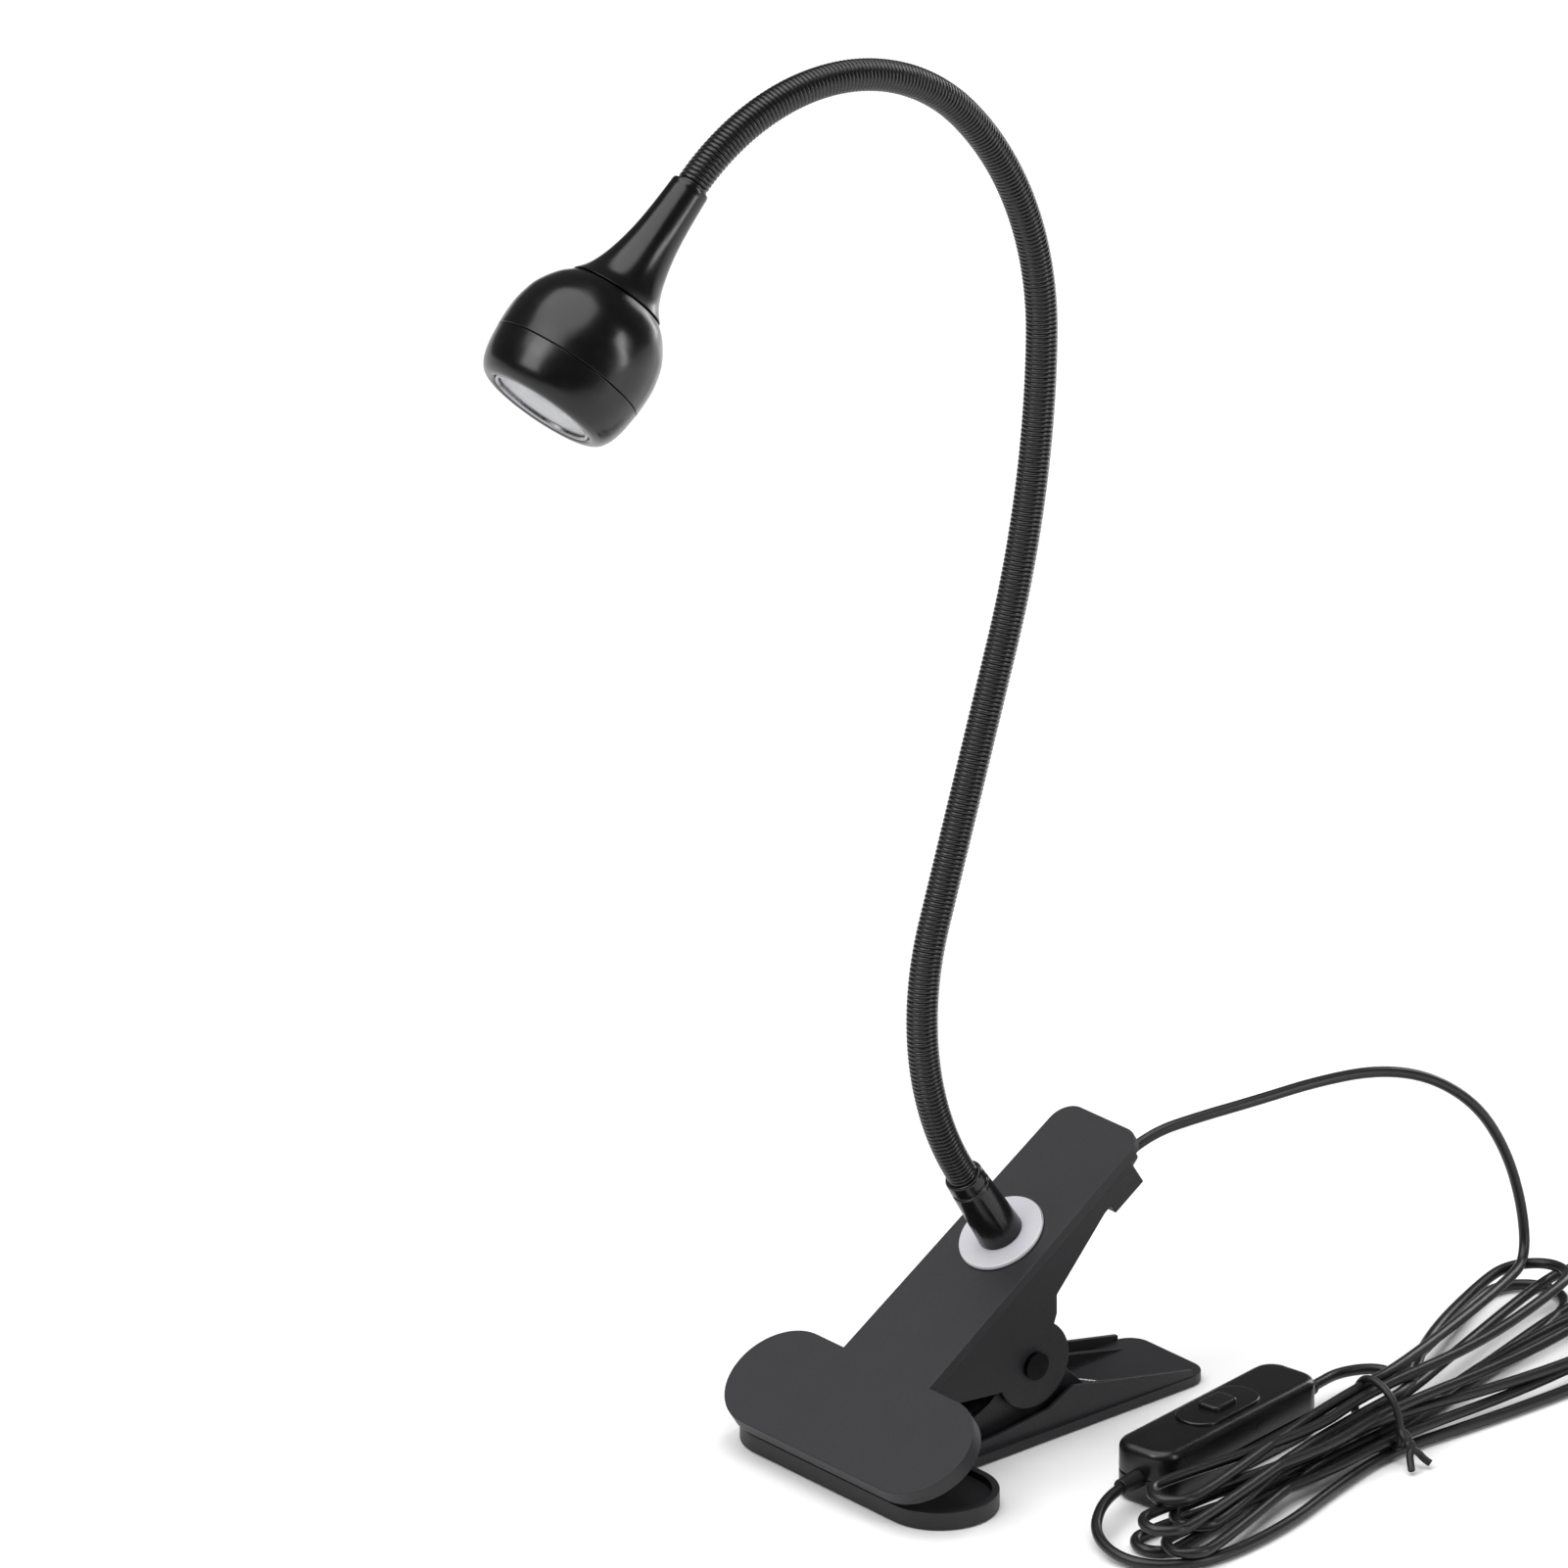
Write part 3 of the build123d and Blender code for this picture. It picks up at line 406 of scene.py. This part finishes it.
def hank_points():
    """The lead's five turns, from the top one down."""
    points = []
    for number, (far, far_radius, shift, near) in enumerate(TURNS):
        z = FLOOR_GAP + LAYER * (len(TURNS) - 1 - number)
        z_next = max(FLOOR_GAP, z - LAYER)
        tie_in = Vector((TIE.x, TIE.y + shift + STRAND_SHIFT))
        tie_out = Vector((TIE.x, TIE.y + shift - STRAND_SHIFT))
        way = (Vector((TIE.x, TIE.y)) - near).normalized()
        z_tie = FLOOR_GAP + (z - FLOOR_GAP) * HUMP
        points.append((tie_in.x + 14, tie_in.y + 2.4, z_tie))
        points.append((tie_in.x - 2, tie_in.y, z_tie))
        points.append((tie_in.x - FAN, tie_in.y - 1.6, z))
        points += fold(near, -way, NEAR_RADIUS, z, z, -1)
        points.append((tie_out.x - FAN, tie_out.y - 3.6, z))
        points.append((tie_out.x - 2, tie_out.y, z_tie))
        far_way = (far - tie_out).normalized()
        middle_out = (far + tie_out) / 2 + Vector((far_way.y, -far_way.x)) * far_radius * 0.75
        points.append((middle_out.x, middle_out.y, z))
        points += fold(far, far_way, far_radius, z, z_next, 1)
        if number < len(TURNS) - 1:
            middle_in = (far + tie_in) / 2 + Vector((-far_way.y, far_way.x)) * far_radius * 0.6
            points.append((middle_in.x, middle_in.y, z_next))
    return points


PLUG_ROUTE = [(-22, -62.5, 5.6), (-30, -69.5, 3.4), (-33, -81, 2.0), (-28, -91.5, 1.5),
              (-14, -97, 1.5), (12, -93.5, 1.5), (36, -85, 1.5), (61, -78, 1.5),
              (92, -80, 1.5), (128, -80, 1.5), (156, -76, 1.5), (176, -66, 2.0),
              (184, -54, 3.0), (185, -40, 3.4), (191, -31, 3.9), (202.5, -34, 3.9)]


def route_curve(name, points_mm):
    """One open NURBS spline through a route's control points."""
    curve = bpy.data.curves.new(name, "CURVE")
    curve.dimensions = "3D"
    spline = curve.splines.new("NURBS")
    spline.points.add(len(points_mm) - 1)
    for point, place in zip(spline.points, points_mm):
        point.co = (*(Vector(place) * MM), 1.0)
    spline.order_u = 3
    spline.use_endpoint_u = True
    spline.resolution_u = 8
    return bpy.data.objects.new(name, curve)


def read_line(route):
    """The points along a route's curve, and its length."""
    scene.collection.objects.link(route)
    bpy.context.view_layer.update()
    line = bpy.data.meshes.new_from_object(route.evaluated_get(
        bpy.context.evaluated_depsgraph_get()))
    points = [Vector(v.co) for v in line.vertices]
    scene.collection.objects.unlink(route)
    return points, sum((b - a).length for a, b in zip(points, points[1:]))


def tube_along(name, points, radius, sides=12):
    """A closed mesh tube that follows points, carried from ring to ring without twist."""
    bm = bmesh.new()
    ring = bmesh.ops.create_circle(bm, cap_ends=True, segments=sides, radius=radius)["verts"]
    ways = [(points[min(i + 1, len(points) - 1)] - points[max(i - 1, 0)]).normalized()
            for i in range(len(points))]
    turn = Vector((0, 0, 1)).rotation_difference(ways[0]).to_matrix().to_4x4()
    bmesh.ops.transform(bm, matrix=Matrix.Translation(points[0]) @ turn, verts=ring)
    face = bm.faces[:][0]
    for i in range(1, len(points)):
        out = bmesh.ops.extrude_face_region(bm, geom=[face])
        ring = [v for v in out["geom"] if isinstance(v, bmesh.types.BMVert)]
        if i > 1:
            bmesh.ops.delete(bm, geom=[face], context="FACES_ONLY")
        face = next(f for f in out["geom"] if isinstance(f, bmesh.types.BMFace))
        bend = ways[i - 1].rotation_difference(ways[i]).to_matrix().to_4x4()
        bmesh.ops.transform(bm, verts=ring, matrix=Matrix.Translation(points[i]) @ bend
                            @ Matrix.Translation(-points[i - 1]))
    bmesh.ops.recalc_face_normals(bm, faces=bm.faces)
    return mesh_piece(name, bm, 60.0)


# %% Lay the two cords
SWITCH_TURN = radians(10.0)
SWITCH_X = Vector((cos(SWITCH_TURN), sin(SWITCH_TURN), 0))
switch_centre = Vector((26.0, -52.5, 7.0))
RELIEF_IN, RELIEF_OUT = 33.5, 40.0   # a cord starts inside its strain relief
lamp_out, lamp_end = (switch_centre + SWITCH_X * reach for reach in (RELIEF_OUT, RELIEF_IN))
plug_out, plug_end = (switch_centre - SWITCH_X * reach for reach in (RELIEF_OUT, RELIEF_IN))
lamp_route = [tuple(lead_start / MM)] + ARCH + hank_points() + SWITCH_LEAD
lamp_route += [tuple(lamp_out), tuple(lamp_end)]
plug_face = (203, -53, 3.9)
plug_route = [tuple(plug_end), tuple(plug_out)] + PLUG_ROUTE + [plug_face]

lamp_line, lamp_length = read_line(route_curve("lamp_route", lamp_route))
plug_line, plug_length = read_line(route_curve("plug_route", plug_route))
print("lamp lead", round(lamp_length, 3), "m; plug lead", round(plug_length, 3), "m")

lamp_cord = tube_along("lamp_cord", lamp_line, CORD_D / 2)
finish_piece(lamp_cord, sheath_pvc, None, ("lamp_lead", "cord_hank", "switch_lead"))
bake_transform(lamp_cord)
plug_cord = tube_along("plug_cord", plug_line, CORD_D / 2)
finish_piece(plug_cord, sheath_pvc, "lower_clamp", ("plug_lead", "plug_tail"))

# %% [markdown]
# ## Gooseneck
# The neck is two steel wires wound together into a hose that holds any bend. Its surface is one long
# helical rib. Spin makes a single turn, copies stack it, and the straight hose is then laid on the
# neck's line. It is made in eight lengths, one to a joint.

# %% The neck's line
NECK_HEADING = radians(90 + ARM_TILT)
NECK_FOOT = (17.6, 0, 49.5)
# each stretch of the neck: an arc's radius in mm and its turn in degrees, or a run's length and 0
NECK_ROUTE = [(82, -51), (71, 0), (266, 17), (89, 45), (61.1, 89.5)]
NECK_LENGTH = sum(abs(radians(turn)) * size if turn else size for size, turn in NECK_ROUTE)


def upper_at(x, y, z):
    """A point of the upper arm, in mm along, across and off it from the clip's pivot."""
    return pivot / MM + arm_x * x + Vector((0, y, 0)) + arm_z * z


def heading_line(heading):
    """The unit vector along a heading in the lamp's upright plane."""
    return Vector((cos(heading), 0, sin(heading)))


def neck_at(station):
    """The neck's centre in mm, and its heading, a distance in mm along it."""
    at, heading, left = upper_at(*NECK_FOOT), NECK_HEADING, station
    for size, turn in NECK_ROUTE:
        length = abs(radians(turn)) * size if turn else size
        part = min(left, length)
        if turn:
            swing = radians(turn) * part / length
            chord = 2 * size * sin(swing / 2) * copysign(1, turn)
            at = at + heading_line(heading + swing / 2) * chord
            heading += swing
        else:
            at = at + heading_line(heading) * part
        left -= part
        if part < length:
            return at, heading
    return at + heading_line(heading) * left, heading


print("neck", round(NECK_LENGTH, 1), "mm")

# %% Wind the hose
RIB_PITCH = 1.15
RIB_SIDES = 20
# one turn's outline: pairs of a radius and a way along the hose
RIB = [(3.6, 0.0), (3.84, 0.16), (3.97, 0.4), (3.97, 0.75), (3.84, 0.99), (3.6, RIB_PITCH)]


def wound_hose(name, start, end):
    """The ribbed hose between two stations along the neck."""
    first = floor(start / RIB_PITCH) - 1
    turns = ceil(end / RIB_PITCH) + 1 - first
    bm = bmesh.new()
    verts = [bm.verts.new((radius, 0, z + first * RIB_PITCH)) for radius, z in RIB]
    edges = [bm.edges.new(pair) for pair in zip(verts, verts[1:])]
    bmesh.ops.spin(bm, geom=verts + edges, cent=(0, 0, 0), axis=(0, 0, 1), angle=2 * pi,
                   dvec=(0, 0, RIB_PITCH / RIB_SIDES), steps=RIB_SIDES, use_merge=False)
    made = 1
    while made < turns:
        copy = bmesh.ops.duplicate(bm, geom=bm.verts[:] + bm.edges[:] + bm.faces[:])["geom"]
        bmesh.ops.translate(bm, verts=[v for v in copy if isinstance(v, bmesh.types.BMVert)],
                            vec=(0, 0, made * RIB_PITCH))
        made *= 2
    bmesh.ops.remove_doubles(bm, verts=bm.verts, dist=0.01)
    for level, side in ((start, -1), (end, 1)):
        bmesh.ops.bisect_plane(bm, geom=bm.verts[:] + bm.edges[:] + bm.faces[:],
                               plane_co=(0, 0, level), plane_no=(0, 0, side), clear_outer=True)
    bmesh.ops.holes_fill(bm, edges=[e for e in bm.edges if e.is_boundary], sides=0)
    bmesh.ops.recalc_face_normals(bm, faces=bm.faces)
    for vert in bm.verts:
        centre, heading = neck_at(vert.co.z)
        out = Vector((sin(heading), 0, -cos(heading)))
        vert.co = (centre + out * vert.co.x + Vector((0, vert.co.y, 0))) * MM
    return mesh_piece(name, bm, 60.0)


NECK_JOINTS = [24, 60, 96, 160, 224, 252, 280, 330]
HIDDEN_END = 5.0         # how far the hose runs on inside the collar and the head's sleeve
ends = [-HIDDEN_END, *[(a + b) / 2 for a, b in zip(NECK_JOINTS, NECK_JOINTS[1:])],
        NECK_LENGTH + HIDDEN_END]
for number, (start, joint, end) in enumerate(zip(ends, NECK_JOINTS, ends[1:])):
    hose = wound_hose(f"neck_hose_{number + 1}", start, end)
    stands_for = [f"neck_segment_{number}"]
    if number == len(NECK_JOINTS) - 1:
        stands_for.append(f"neck_segment_{number + 1}")
    finish_piece(hose, lacquer, None, stands_for)
    reach = min(joint - max(start, 0), end - joint) - 1
    low, high = (neck_at(joint + side * reach)[0] * MM for side in (-1, 1))
    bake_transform(hose)
print("hose lengths", len(NECK_JOINTS))

# %% [markdown]
# ## Head
# The head is a polished ABS bulb on a long tapered sleeve. Every part of it is round, so each is one
# outline turned about the head's axis, with a bevel that breaks its corners as a mould does.

# %% Turned pieces
def eased(points, steps=6):
    """A smooth line through points: a Catmull-Rom spline."""
    guide = [np.array(p, float) for p in (points[0], *points, points[-1])]
    line = []
    for a, b, c, d in zip(guide, guide[1:], guide[2:], guide[3:]):
        for t in np.linspace(0, 1, steps, endpoint=False):
            line.append(tuple(0.5 * (2 * b + (c - a) * t + (2 * a - 5 * b + 4 * c - d) * t ** 2
                                     + (3 * b - a - 3 * c + d) * t ** 3)))
    return line + [tuple(guide[-1])]


def turned(name, outline, place, closed=True, steps=96):
    """A closed outline of (station, radius) pairs in mm, turned about an axis."""
    bm = bmesh.new()
    verts = [bm.verts.new((radius, 0, station)) for station, radius in outline]
    pairs = list(zip(verts, verts[1:])) + ([(verts[-1], verts[0])] if closed else [])
    edges = [bm.edges.new(pair) for pair in pairs]
    bmesh.ops.spin(bm, geom=verts + edges, cent=(0, 0, 0), axis=(0, 0, 1), angle=2 * pi,
                   steps=steps, use_merge=True)
    bmesh.ops.remove_doubles(bm, verts=bm.verts, dist=0.001)
    bmesh.ops.recalc_face_normals(bm, faces=bm.faces)
    bmesh.ops.transform(bm, matrix=place @ Matrix.Scale(MM, 4), verts=bm.verts)
    return mesh_piece(name, bm, 30.0)


def axis_place(origin_mm, heading):
    """A frame at a point whose Z runs along a heading in the lamp's upright plane."""
    out = Vector((sin(heading), 0, -cos(heading)))
    line = heading_line(heading)
    place = Matrix((out, (0, 1, 0), line)).transposed().to_4x4()
    return Matrix.Translation(Vector(origin_mm) * MM) @ place


# %% The head's shells
SLEEVE_SETBACK = 1.8
head_place = axis_place(*neck_at(NECK_LENGTH + SLEEVE_SETBACK))
SLEEVE = eased([(-0.6, 4.9), (8, 5.45), (15, 6.3), (22, 7.9), (27, 9.9), (30.2, 12.3)])
BULB = eased([(30.9, 12.6), (33.5, 15.2), (38, 18.0), (42.5, 19.3), (46.5, 19.75), (51.45, 19.65)])
BEZEL = eased([(51.6, 19.6), (56, 19.1), (59.5, 18.2), (61.6, 17.0), (62.5, 15.9)])

sleeve = turned("head_sleeve_turned", [(-SLEEVE_SETBACK, 4.15), (-SLEEVE_SETBACK, 4.75),
                                       (-0.8, 4.95), *SLEEVE, (30.2, 6.0), (6, 4.15)], head_place)
finish_piece(rounded(sleeve, 0.2), head_abs, "head", ("head_sleeve",))
shell = turned("head_bulb_turned", [(30.4, 8.0), (30.4, 11.9), *BULB, (51.45, 17.7),
                                    (42, 17.2), (34, 12.5)], head_place)
finish_piece(rounded(shell, 0.2), head_abs, "head", ("head_shell",))
bezel = turned("front_bezel_turned", [(51.6, 17.7), *BEZEL, (62.9, 14.9), (62.8, 13.9), (62.3, 13.35),
                                      (60.5, 13.3), (60.5, 14.3), (57, 16.6)], head_place)
finish_piece(rounded(bezel, 0.25), head_abs, "head", ("front_bezel",))
print("bulb", round(2 * max(r for _, r in BULB), 1), "mm across")

# %% [markdown]
# ## Window
# Behind a clear acrylic lens lie a bright metallised cup and a small LED on its board. A thin
# bright trim ring holds the lens, which is what shows first when the head is seen from its side.

# %% Lens, cup and LED
LENS_EDGE = 14.1
lens = turned("lens_turned", [(60.4, 12.2), (62.0, 12.15), (62.2, 8.0), (62.3, 4.0), (62.35, 0.0),
                              (58.9, 0.0), (58.3, LENS_EDGE - 0.6), (58.3, LENS_EDGE),
                              (60.4, LENS_EDGE)], head_place, closed=False)
finish_piece(rounded(lens, 0.12, 2), acrylic, "head", ("lens",))
trim = turned("window_trim_turned", [(60.6, 12.25), (62.3, 12.25), (62.75, 12.6), (62.75, 12.9),
                                     (62.3, 13.25), (60.6, 13.25)], head_place)
finish_piece(rounded(trim, 0.08, 2), trim_metal, "head")
CUP = eased([(50.2, 3.9), (51.4, 7.2), (53.4, 10.2), (57.2, 12.9)])
cup = turned("reflector_turned", [*CUP, (57.2, 14.0), (55.2, 14.0), (52.4, 11.2), (50.2, 8.2)],
             head_place, steps=24)
finish_piece(rounded(cup, 0.1, 2, 50.0), chrome, "head", ("reflector",))

# %% [markdown]
# ## Clip
# Both arms are one-piece mouldings with a flat top, side walls and wide rounded jaws. The CAD shape
# is right, so each arm is a merged copy of it with its edges rounded over, which catches the light.

# %% Arms, pads and pin
softened("upper_arm", "upper_arm_moulded", clip_abs, "upper_clamp", 0.5)
softened("lower_arm", "lower_arm_moulded", clip_abs, "lower_clamp", 0.5)
softened("neck_washer", "neck_washer_moulded", washer_abs, "upper_clamp", 0.3)
softened("neck_collar", "neck_collar_moulded", collar_abs, "upper_clamp", 0.2)
softened("cable_gland", "cable_gland_moulded", relief_pvc, "upper_clamp", 0.2)
softened("upper_jaw_pad", "upper_jaw_pad_moulded", pad_rubber, "upper_clamp", 0.3)
softened("lower_jaw_pad", "lower_jaw_pad_moulded", pad_rubber, "lower_clamp", 0.3)
softened("pin_cap", "pin_cap_turned", pin_steel, "lower_clamp", 0.3)

# %% [markdown]
# ## Spring
# The torsion spring's two legs press the arms apart.

# %% Torsion spring
spring = softened("torsion_spring", "torsion_spring_wound", spring_steel, None, 0.02,
                  1, 60.0)
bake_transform(spring)

# %% [markdown]
# ## Switch and plug
# The push switch is two moulded shells, screwed together, with a raised panel round its button. The
# USB plug has a soft grip moulded over a nickel-plated shell.

# %% Switch shells
SWITCH_LENGTH, SWITCH_WIDTH, SWITCH_SPLIT, SWITCH_TOP = 64.0, 18.0, 7.0, 15.0
SWITCH_CORNER = 6.0
SEAM = 0.15              # half the groove between the two shells
LIP = 0.8                # how far the lip inside the groove stands back
PANEL = (26.0, 12.5)
PANEL_RISE = 0.8
BUTTON = (9.0, 6.5)
BUTTON_RISE = 2.2


def soft_block(bm, size, low, high, corner, top_edge, bottom_edge=0.0):
    """A block with round corners seen from above, and soft top and bottom edges, in mm."""
    cube = bmesh.new()
    bmesh.ops.create_cube(cube, size=1.0)
    bmesh.ops.scale(cube, vec=(*size, high - low), verts=cube.verts)
    upright = [e for e in cube.edges if abs(e.verts[0].co.z - e.verts[1].co.z) > 0.1]
    bmesh.ops.bevel(cube, geom=upright, offset=corner, segments=8, profile=0.5, affect="EDGES",
                    material=-1)
    for side, width in ((1, top_edge), (-1, bottom_edge)):
        level = side * (high - low) / 2
        rim = [e for e in cube.edges if all(abs(v.co.z - level) < 0.01 for v in e.verts)]
        if width:
            bmesh.ops.bevel(cube, geom=rim, offset=width, segments=4, profile=0.5,
                            affect="EDGES", material=-1)
    bmesh.ops.translate(cube, vec=(0, 0, (low + high) / 2), verts=cube.verts)
    block = bpy.data.meshes.new("block")
    cube.to_mesh(block)
    cube.free()
    bm.from_mesh(block)


def placed_switch_piece(name, bm):
    """Turns a switch piece to where the switch lies and makes it an object."""
    place = Matrix.Translation(Vector((switch_centre.x, switch_centre.y, 0)) * MM)
    turn = Matrix.Rotation(SWITCH_TURN, 4, "Z")
    bmesh.ops.transform(bm, matrix=place @ turn @ Matrix.Scale(MM, 4), verts=bm.verts)
    return mesh_piece(name, bm, 40.0)


lower_shell = bmesh.new()
soft_block(lower_shell, (SWITCH_LENGTH, SWITCH_WIDTH), 0.0, SWITCH_SPLIT - SEAM, SWITCH_CORNER, 0.3,
           1.2)
switch_base = placed_switch_piece("switch_base_moulded", lower_shell)
finish_piece(switch_base, switch_abs, "lower_clamp", ("switch_base",))
upper_shell = bmesh.new()
soft_block(upper_shell, (SWITCH_LENGTH, SWITCH_WIDTH), SWITCH_SPLIT + SEAM, SWITCH_TOP,
           SWITCH_CORNER, 2.2, 0.3)
soft_block(upper_shell, (SWITCH_LENGTH - 2 * LIP, SWITCH_WIDTH - 2 * LIP), SWITCH_SPLIT - 1,
           SWITCH_SPLIT + 1, SWITCH_CORNER - LIP, 0.0)
soft_block(upper_shell, PANEL, SWITCH_TOP - 1, SWITCH_TOP + PANEL_RISE, 5.8, 0.5)
switch_cover = placed_switch_piece("switch_cover_moulded", upper_shell)
finish_piece(switch_cover, switch_abs, "lower_clamp", ("switch_cover",))
button = bmesh.new()
soft_block(button, BUTTON, SWITCH_TOP - 2, SWITCH_TOP + BUTTON_RISE, 1.5, 0.7)
finish_piece(placed_switch_piece("switch_button_moulded", button), button_abs, "switch_button",
             ("switch_button",))

# %% Plug and strain reliefs
for lead in ("lamp_strain_relief", "plug_strain_relief"):
    softened(lead, f"{lead}_moulded", relief_pvc, "lower_clamp", 0.25)
plug_body = softened("plug_body", "plug_body_moulded", switch_abs, "lower_clamp",
                     0.8, 4)
plug_shell = softened("plug_shell", "plug_shell_folded", nickel, "lower_clamp",
                      0.15)

# %% Button spring
button_coil = softened("button_spring", "button_spring_wound", spring_steel, "lower_clamp",
                       0.01, 1, 60.0)
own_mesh(button_coil)

# %% [markdown]
# ## Twist tie
# A round PVC tie with a wire in it goes once round the hank. Its two ends are twisted together and
# stick out at the front.

# %% Twist tie
ring = [(TIE.x, TIE.y + y, z) for y, z in
        ((-8.6, 4.5), (-9.0, 9.5), (-6.6, 15.4), (-1.5, 18.4), (3.5, 18.8), (7.0, 16.0),
         (8.1, 9.5), (7.6, 4.0), (5.2, 1.3), (0.0, 1.15), (-5.4, 1.3))]
band_line, _ = read_line(route_curve("tie_route", ring + [ring[0]]))
band = tube_along("tie_band", band_line, 1.0 * MM, 10)
finish_piece(band, tie_pvc, "lower_clamp", ("twist_tie",))
for number, lean in enumerate((-1.0, 1.0)):
    tail = [(TIE.x, TIE.y - 9.0, 8.5), (TIE.x + lean * 1.3, TIE.y - 11.0, 7.2),
            (TIE.x - lean * 1.3, TIE.y - 12.4, 5.6), (TIE.x + lean * 1.4, TIE.y - 13.6, 4.0),
            (TIE.x + lean * 2.2, TIE.y - 15.0, 2.2), (TIE.x + lean * 3.2, TIE.y - 16.4, 1.2)]
    tail_line, _ = read_line(route_curve("tail_route", tail))
    tail_end = tube_along(f"tie_tail_{number + 1}", tail_line, 0.95 * MM, 8)
    finish_piece(tail_end, tie_pvc, "lower_clamp")

# %% Finishes of the CAD parts that stay
CAD_FINISHES = {
    "pivot_pin": pin_steel, "neck_nut": zinc, "arm_lead": sheath_pvc,
    "contact_block": insulator_pbt, "contact_strips": brass, "switch_leads": sheath_pvc,
    "switch_screws": zinc, "plug_insulator": insulator_pbt, "lens_gasket": pad_rubber,
    "led_board": board_mask, "led_emitter": phosphor, "heat_sink": aluminium,
    "board_screws": zinc, "head_wires": wire_pvc,
}
for node, finish in CAD_FINISHES.items():
    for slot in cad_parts[node].material_slots:
        slot.material = finish
print("CAD parts refinished", len(CAD_FINISHES))
